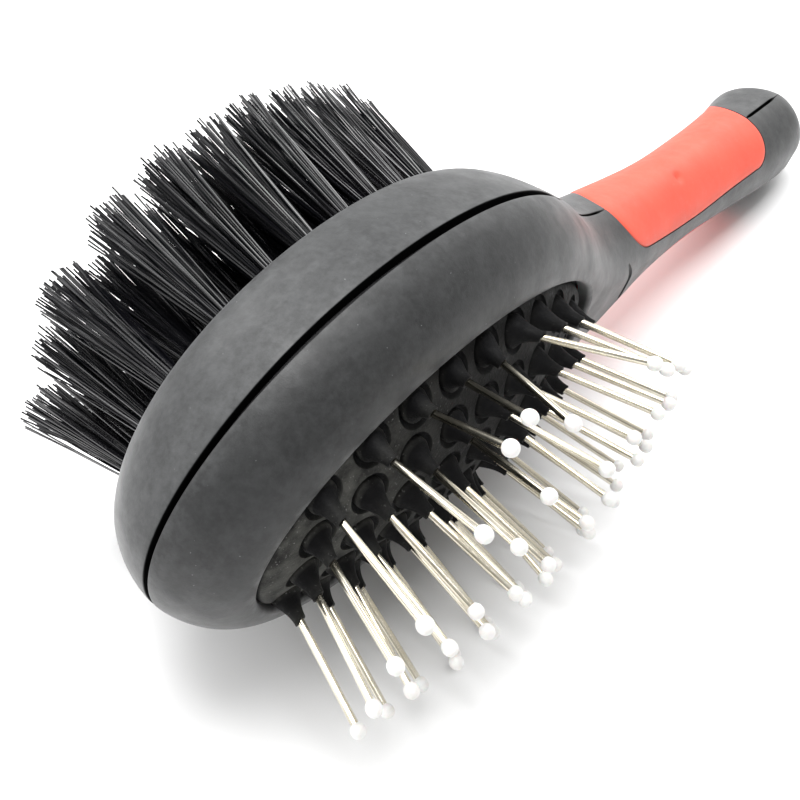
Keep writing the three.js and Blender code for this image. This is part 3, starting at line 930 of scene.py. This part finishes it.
def grip_insert(side, name):
    """A soft insert that follows the handle's skin, its edge rolled into the window."""
    edge = grip_outline()
    spine_x = np.clip(edge[:, 0], GRIP_SPINE["front"], GRIP_SPINE["back"])
    spine = np.stack([spine_x, np.full(len(edge), GRIP_SPINE["height"])], 1)
    reach = np.linalg.norm(edge - spine, axis=1, keepdims=True)
    paths = [lerp(edge, spine, inside / reach) for inside, _ in GRIP_RINGS]
    proud = [height for _, height in GRIP_RINGS]
    innermost, crown = paths[-1], proud[-1]
    for share in np.linspace(0.05, 0.95, 19):
        paths.append(lerp(innermost, spine, share))
        proud.append(crown)
    rings = [on_handle(edge, -GRIP_THICKNESS, side)]
    for path, height in zip(paths, proud):
        rings.append(on_handle(path, height - dimple_depth(path), side))
    thing = make_mesh(name + "_pad", ring_stack(rings if side < 0 else rings[::-1]))
    return finish_piece(thing, GRIP_RUBBER, "brush_body", [name])


# ------------------------------------------------------------------ cushion and pins


def field_sites(a, b, columns, pitch, step, offset):
    """Evenly spaced columns across an oval field; each column's outer sites lie on the oval."""
    sites = []
    for column in range(columns):
        x = (column - (columns - 1) / 2) * pitch
        reach = b * math.sqrt(1 - (x / a) ** 2)
        gaps = round(2 * reach / step)
        sites.append([(x + offset, reach * (2 * i / gaps - 1)) for i in range(gaps + 1)])
    return sites


def skin_height(x, y):
    """Height of the cushion's skin, which meets the shell's face at its front end."""
    front = FRONT_LIFT * smoothstep(-np.asarray(x, float), *FRONT_LIFT_SPAN)
    return DOME_EDGE + DOME_RISE * (1 - (x / DOME_A) ** 2 - (y / DOME_B) ** 2) + front


def pin_slopes(pin):
    """The slope a pin has under the cushion's skin, and the slope it has above."""
    column, place, (x, y) = pin
    rooted = np.array([x * PIN_LEAN[0], y * PIN_LEAN[1]])
    return rooted, rooted + PIN_BENDS.get((column, place), (0, 0))


def on_pin(pin, rise):
    """The point on a pin's line that stands rise above the cushion's skin at its site."""
    rooted, free = pin_slopes(pin)
    x, y = pin[2]
    slope = free if rise > 0 else rooted
    return np.array([x + slope[0] * rise, y + slope[1] * rise, skin_height(x, y) + rise])


def free_rise(pin, length):
    """How high a length of the pin reaches over the skin; a bent pin keeps its length."""
    rooted, free = pin_slopes(pin)
    return length * math.hypot(1, *rooted) / math.hypot(1, *free)


def membrane():
    """The domed rubber skin, its edge rolled down inside the opening, with a flange below."""
    a, b = CUSHION_EDGE
    count = 200

    def skin_oval(inside=0.0, share=1.0, below=0.0):
        ring = ellipse_ring((a - inside) * share, (b - inside) * share, 0, count)
        ring[:, 2] = skin_height(ring[:, 0], ring[:, 1]) - below
        return ring

    def flat_oval(long_half, short_half, height):
        return ellipse_ring(long_half, short_half, height, count)

    flange_a, flange_b, low, high, bulge = FLANGE.values()
    rings = [
        skin_oval(share=share, below=MEMBRANE_THICKNESS)
        for share in (0.03, 0.2, 0.4, 0.6, 0.8, 0.96)
    ]
    # Out under the flange, round its edge, and back in to the foot of the roll.
    rings += [
        flat_oval(a - 1.2, b - 1.2, low + 0.05),
        flat_oval(flange_a, flange_b, low),
        flat_oval(flange_a + bulge, flange_b + bulge, (low + high) / 2),
        flat_oval(flange_a, flange_b, high),
        flat_oval(a + 0.3, b + 0.3, high + 0.05),
        flat_oval(a, b, high + 0.25),
    ]
    roll_steps = 5
    for step in range(roll_steps + 1):
        turned = math.pi / 2 * step / roll_steps
        inside = CUSHION_ROLL * (1 - math.cos(turned))
        rings.append(skin_oval(inside, below=CUSHION_ROLL * (1 - math.sin(turned))))
    rings += [skin_oval(share=share) for share in np.linspace(0.95, 0.02, 30)]
    return ring_stack(rings)


def socket(pin):
    """The hollow-sided cone of rubber that a pin stands in, with a rounded mouth at its top."""
    sides, levels = 20, 9
    sunk = -0.9
    angle = np.linspace(0, 2 * math.pi, sides, endpoint=False) + math.pi
    profile = [(SOCKET_BASE, sunk), (SOCKET_BASE, -0.05)]
    for level in range(1, levels + 1):
        share = level / levels
        radius = lerp(SOCKET_TOP, SOCKET_BASE, (1 - share) ** SOCKET_HOLLOW)
        profile.append((radius, SOCKET_HEIGHT * share))
    profile += [
        (SOCKET_TOP - 0.12, SOCKET_HEIGHT + 0.05),
        (PIN_RADIUS + 0.1, SOCKET_HEIGHT + 0.02),
        (PIN_RADIUS + 0.04, SOCKET_HEIGHT - 0.5),
    ]
    rings = []
    for radius, rise in profile:
        middle = on_pin(pin, free_rise(pin, rise) if rise > 0 else rise)
        ring = middle + np.stack(
            [radius * np.cos(angle), radius * np.sin(angle), np.zeros(sides)], 1
        )
        ground = skin_height(ring[:, 0], ring[:, 1]) - skin_height(*middle[:2])
        ring[:, 2] += ground * max(0.0, 1 - max(rise, 0) / SOCKET_HEIGHT) ** 2
        rings.append(ring)
    return ring_stack(rings)


def bowl(pin):
    """The shallow dish that a socket rises from."""
    sides = 24
    angle = np.linspace(0, 2 * math.pi, sides, endpoint=False) + math.pi
    x, y = pin[2]
    rings = []
    for share, depth in BOWL_PROFILE:
        ring_x = x + BOWL_RADIUS * share * np.cos(angle)
        ring_y = y + BOWL_RADIUS * share * np.sin(angle)
        ring_z = skin_height(ring_x, ring_y) - BOWL_DEPTH * depth
        rings.append(np.stack([ring_x, ring_y, ring_z], 1))
    return ring_stack(rings)


def socket_painted_shade(place):
    """1 in the bowls and on the feet of the sockets, and less towards the sockets' tops, where the
    rubber is painted near-black as painted shade.
    """
    above = place[:, 2] - skin_height(place[:, 0], place[:, 1])
    in_bowl = smoothstep(-above, 0.05, 0.4)
    on_cone = smoothstep(above, 0.1, 0.5) * (1 - 0.35 * smoothstep(above, 1.5, 3.5))
    return in_bowl + on_cone


def pin_cushion(columns):
    """The membrane with its sockets, from its flange up to its crown, as one still shape."""
    pins = [pin for column in columns for pin in column]
    thing = make_mesh("cushion_membrane", membrane())
    carve(thing, join([bowl(pin) for pin in pins]))
    carve(thing, join([socket(pin) for pin in pins]), "UNION")
    place = brush_coordinates(thing)
    # Painted shade in the dishes and on the sockets' feet.
    set_attribute(thing, "socket", socket_painted_shade(place))
    # Paler towards the front: partly a dusty film, partly painted light.
    set_attribute(thing, "dust_and_light", 1 - smoothstep(place[:, 0], -34, -6))
    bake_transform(thing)
    dress(thing, CUSHION_RUBBER, sharp=50)
    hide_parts("pin_cushion")


def pin_shapes(pin):
    """A wire and its bead, leaning a little its own way."""
    wander = rng.normal(0, 0.16, 2)
    length = PIN_LENGTH + rng.normal(0, 0.12)
    foot = on_pin(pin, -MEMBRANE_THICKNESS)
    skin = on_pin(pin, 0)
    tip = on_pin(pin, free_rise(pin, length)) + np.array([*wander, 0])
    heading = (tip - skin) / np.linalg.norm(tip - skin)
    middle = tip - heading * BALL_RADIUS
    wire = tube([foot, skin, lerp(skin, middle, 0.5), middle], PIN_RADIUS, 20)
    stretch = rng.uniform(0.96, 1.1)
    turned = np.linspace(0.25, math.pi - 0.06, 12)
    radii = BALL_RADIUS * rng.uniform(0.94, 1.03) * np.sin(turned) ** 0.85
    reach = -np.cos(turned) * BALL_RADIUS * stretch
    bead = tube(middle + heading * reach[:, None], radii, 20)
    return wire, bead


def pin_column(pins):
    """One column of wires and, as a second piece, their beads."""
    number = pins[0][0]
    shapes = [pin_shapes(pin) for pin in pins]
    wires = make_mesh(f"steel_pins_{number}", join([wire for wire, _ in shapes]))
    finish_piece(wires, PIN_STEEL, "pin_bed", [f"pin_row_{number}"])
    beads = make_mesh(f"pin_tips_{number}", join([bead for _, bead in shapes]))
    finish_piece(beads, TIP_PLASTIC, "pin_bed", sharp=80)


# ------------------------------------------------------------------ bristles


def tuft_filaments(site):
    """Filaments of one tuft: centre lines from a tight root, flaring to an uneven tip."""
    root = np.array([*site, TUFT_ROOT + TUFT_SUNK])
    drop = TUFT_ROOT - TUFT_TIP
    spread = np.array([site[0] * TUFT_LEAN[0], site[1] * TUFT_LEAN[1]]) * drop
    wander = rng.normal(0, 0.5, 2)
    lines = []
    for i in range(FILAMENTS):
        share = math.sqrt((i + 0.5) / FILAMENTS)
        angle = i * GOLDEN_ANGLE + rng.normal(0, 0.25)
        ray = np.array([math.cos(angle), math.sin(angle)]) * share
        stray = rng.normal(0, 0.3, 2)
        end = ray * TUFT_TIP_RADIUS + spread + wander + stray
        length = drop + rng.normal(0, 0.4) - 0.7 * share**2
        bow = rng.normal(0, 0.22, 2)
        t = np.linspace(0, 1, 6)[:, None]
        aside = ray * TUFT_ROOT_RADIUS * (1 - t) + end * (0.86 * t + 0.14 * t**2)
        aside = aside + bow * np.sin(math.pi * t)
        line = np.concatenate([aside, -t * (length + TUFT_SUNK)], 1)
        line[:, :2] += root[:2]
        line[:, 2] += root[2]
        lines.append(line)
    return lines


def bristle_row(number, sites):
    lines = [line for site in sites for line in tuft_filaments(site)]
    sides = 5
    thing = make_mesh(
        f"bristles_{number}", join([tube(line, FILAMENT_RADIUS, sides) for line in lines])
    )
    shade = np.repeat(rng.uniform(0, 1, len(lines)), sides * len(lines[0]))
    set_attribute(thing, "shade", shade)
    finish_piece(thing, NYLON, "brush_body", [f"bristle_row_{number}"], sharp=60)


def bristle_plate(columns):
    """The board the tufts are planted in, with a shallow dish round each tuft."""
    a, b = (half - BOARD_GAP for half in BRISTLE_OPENING)
    top = BOARD_TOP
    rounded_edge = [(0.0, BOARD_SKIRT), (0.0, top + 0.5), (0.15, top + 0.15), (0.5, top)]
    rings = [ellipse_ring(a - inside, b - inside, z, 160) for inside, z in rounded_edge]
    rings += [ellipse_ring(a * share, b * share, top, 160) for share in (0.8, 0.5, 0.2)]
    thing = make_mesh("bristle_board", ring_stack(rings[::-1]))
    dishes = []
    for sites in columns:
        for x, y in sites:
            line = [(x, y, top + height) for height in DISH_HEIGHTS]
            dishes.append(tube(line, DISH_RADII, 20))
    carve(thing, join(dishes))
    finish_piece(thing, HARD_PLASTIC, "brush_body", ["bristle_plate"])


# ------------------------------------------------------------------ assembly

pin_columns = [
    [(column, place, site) for place, site in enumerate(sites, 1)]
    for column, sites in enumerate(field_sites(**PIN_FIELD), 1)
]
tuft_sites = field_sites(**TUFT_FIELD)

shell(1, "pin_side_shell", PIN_OPENING, PIN_OPENING_SHIFT)
shell(-1, "bristle_side_shell", BRISTLE_OPENING)
centre_frame()
grip_insert(1, "left_grip_insert")
grip_insert(-1, "right_grip_insert")
pin_cushion(pin_columns)
bristle_plate(tuft_sites)
for pins in pin_columns:
    pin_column(pins)
for number, sites in enumerate(tuft_sites, 1):
    bristle_row(number, sites)
for node in ("cushion_clamp_ring", "cushion_backing_plate"):
    for material_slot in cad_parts[node].material_slots:
        material_slot.material = HARD_PLASTIC


# ------------------------------------------------------------------ table, light and camera


def table():
    """A white table top under the brush, wide enough to run out of sight."""
    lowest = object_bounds()[0].z
    steps = 24
    span = 3.0
    grid = [
        (span * (i / steps - 0.5), span * (j / steps - 0.5), lowest)
        for j in range(steps + 1)
        for i in range(steps + 1)
    ]
    row = steps + 1
    faces = [
        (j * row + i, j * row + i + 1, (j + 1) * row + i + 1, (j + 1) * row + i)
        for j in range(steps)
        for i in range(steps)
    ]
    mesh = bpy.data.meshes.new("table_top")
    mesh.from_pydata(grid, [], faces)
    mesh.materials.append(table_top())
    thing = bpy.data.objects.new("table_top", mesh)
    bpy.context.scene.collection.objects.link(thing)


def area_light(name, place, aim, side, power):
    light = bpy.data.lights.new(name, "AREA")
    light.shape = "SQUARE"
    light.size = side
    light.energy = power
    thing = bpy.data.objects.new(name, light)
    thing.location = place
    thing.rotation_mode = "QUATERNION"
    thing.rotation_quaternion = (Vector(aim) - Vector(place)).to_track_quat("-Z", "Y")
    bpy.context.scene.collection.objects.link(thing)


def lighting():
    """A pale room, brighter overhead and behind the brush than on the camera's side."""
    world = bpy.data.worlds.new("studio")
    world.use_nodes = True
    tree = world.node_tree
    background = tree.nodes["Background"]
    direction = tree.nodes.new("ShaderNodeTexCoord")
    towards = tree.nodes.new("ShaderNodeVectorMath")
    towards.operation = "DOT_PRODUCT"
    towards.inputs[1].default_value = Vector((0.3, 0.6, 0.75)).normalized()
    strength = tree.nodes.new("ShaderNodeMapRange")
    strength.interpolation_type = "SMOOTHSTEP"
    strength.inputs["From Min"].default_value = -0.35
    strength.inputs["From Max"].default_value = 0.6
    strength.inputs["To Min"].default_value = 0.3
    strength.inputs["To Max"].default_value = 0.9
    tree.links.new(direction.outputs["Generated"], towards.inputs[0])
    tree.links.new(towards.outputs["Value"], strength.inputs["Value"])
    tree.links.new(strength.outputs["Result"], background.inputs["Strength"])
    background.inputs["Color"].default_value = (1, 1, 1, 1)
    bpy.context.scene.world = world
    head, middle = (-0.03, 0, 0.02), (0, 0, 0.03)
    area_light("overhead_softbox", place=(-0.05, 0, 0.9), aim=head, side=0.55, power=9.5)
    area_light("window", place=(0.05, 0.75, 0.7), aim=middle, side=0.5, power=4.5)
    area_light("left_light", place=(-0.8, 0.5, 0.6), aim=middle, side=0.6, power=3.5)
    area_light("right_light", place=(0.9, 0.1, 0.5), aim=middle, side=0.6, power=1.8)
    bpy.context.scene.view_settings.view_transform = "Standard"


def camera():
    """The photograph's viewpoint: in front of the head and above it, tilted a little."""
    lens = bpy.data.cameras.new("camera")
    lens.lens = 48.44
    lens.sensor_width = 36
    lens.clip_start = 0.01
    thing = bpy.data.objects.new("camera", lens)
    place = Vector((-0.16001, -0.07203, 0.14154))
    aim = Vector((-0.05932, -0.00392, 0.03132))
    roll = math.radians(-3.169)
    look = (aim - place).to_track_quat("-Z", "Y").to_matrix().to_4x4()
    thing.matrix_world = Matrix.Translation(place) @ look @ Matrix.Rotation(-roll, 4, "Z")
    bpy.context.scene.collection.objects.link(thing)
    bpy.context.scene.camera = thing


table()
lighting()
camera()
